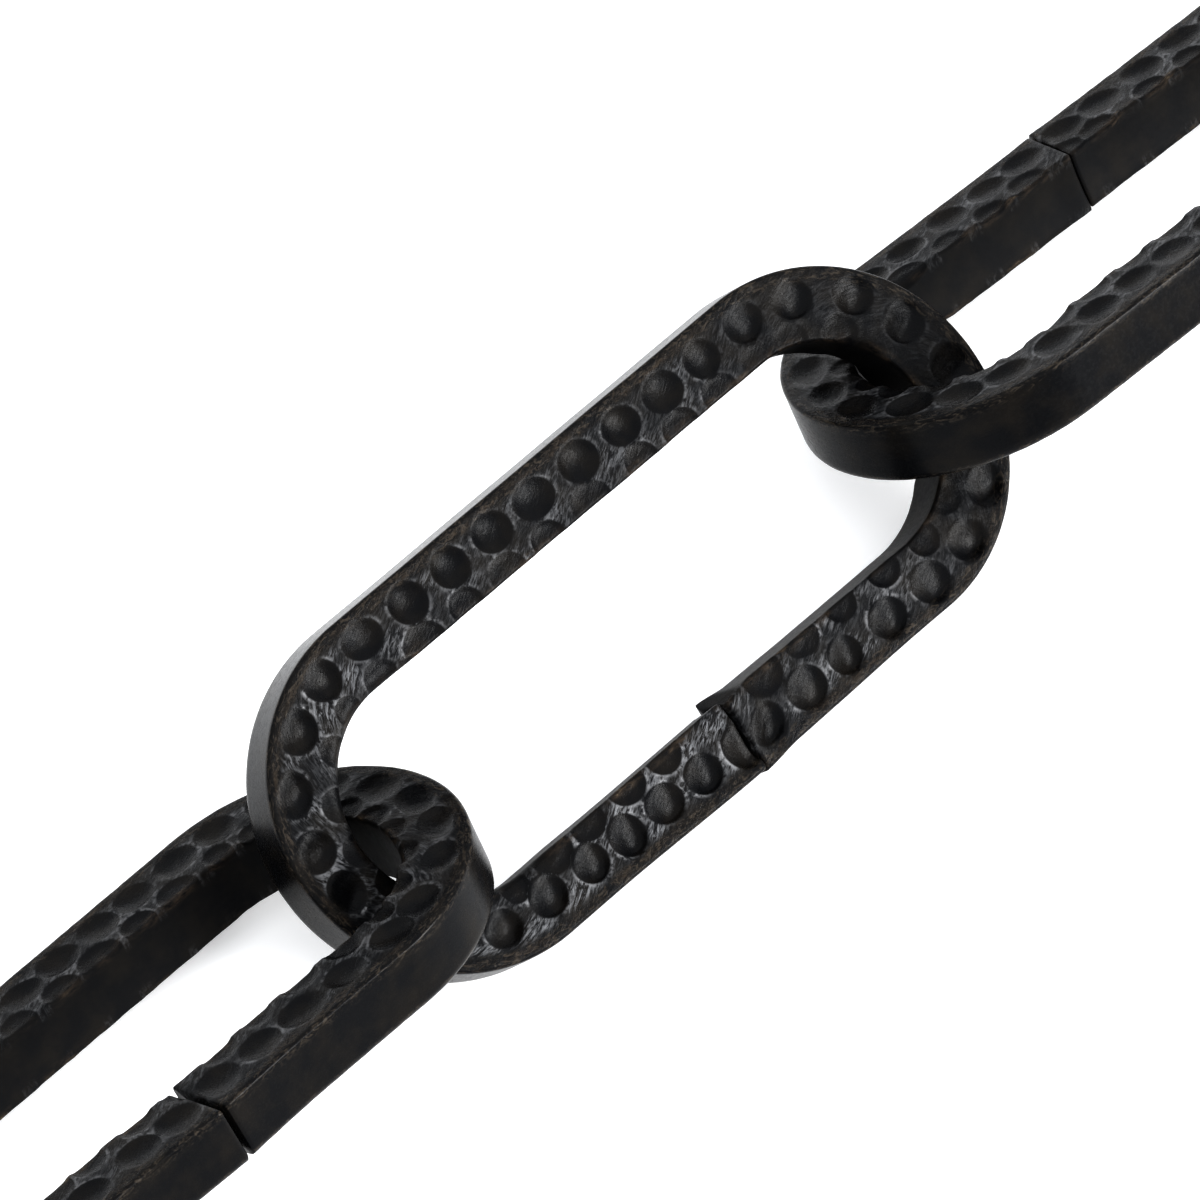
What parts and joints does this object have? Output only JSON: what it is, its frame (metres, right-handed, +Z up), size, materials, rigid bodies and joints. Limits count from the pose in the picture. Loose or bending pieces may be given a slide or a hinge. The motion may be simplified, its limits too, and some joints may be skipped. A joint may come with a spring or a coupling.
{
  "type": "hammered iron chain",
  "caption": "Straight run of decorative chain: long oval links bent from square iron bar with hammered faces, each threaded through the next, with open seams in the legs.",
  "frame": {"origin": "on the floor under the middle of the chain", "axes": "+X along the chain from link_1 to link_5, +Z up from the floor"},
  "size_m": [0.3216, 0.0338, 0.0213],
  "materials": {
    "blackened_iron": "satin black over hammered iron, rubbed to brown along the edges"
  },
  "bodies": {
    "link_1": {"link_1": "blackened_iron"},
    "link_2": {"link_2": "blackened_iron"},
    "link_3": {"link_3": "blackened_iron"},
    "link_4": {"link_4": "blackened_iron"},
    "link_5": {"link_5": "blackened_iron"}
  },
  "joints": [
    {"name": "swing_2", "type": "hinge", "parent": "link_1", "child": "link_2", "pos_m": [-0.08349, 0.00115, 0.00995], "axis": [0, 0.4894, 0.8721], "range_deg": [-75, 75]},
    {"name": "swing_3", "type": "hinge", "parent": "link_2", "child": "link_3", "pos_m": [-0.02219, 0.00211, 0.01023], "axis": [0, -0.5105, 0.8599], "range_deg": [-75, 75]},
    {"name": "swing_4", "type": "hinge", "parent": "link_3", "child": "link_4", "pos_m": [0.03905, 0.00138, 0.01066], "axis": [0.0256, 0.5426, 0.8396], "range_deg": [-75, 75]},
    {"name": "swing_5", "type": "hinge", "parent": "link_4", "child": "link_5", "pos_m": [0.10044, -0.00109, 0.01013], "axis": [-0.0105, -0.5029, 0.8643], "range_deg": [-75, 75]}
  ]
}
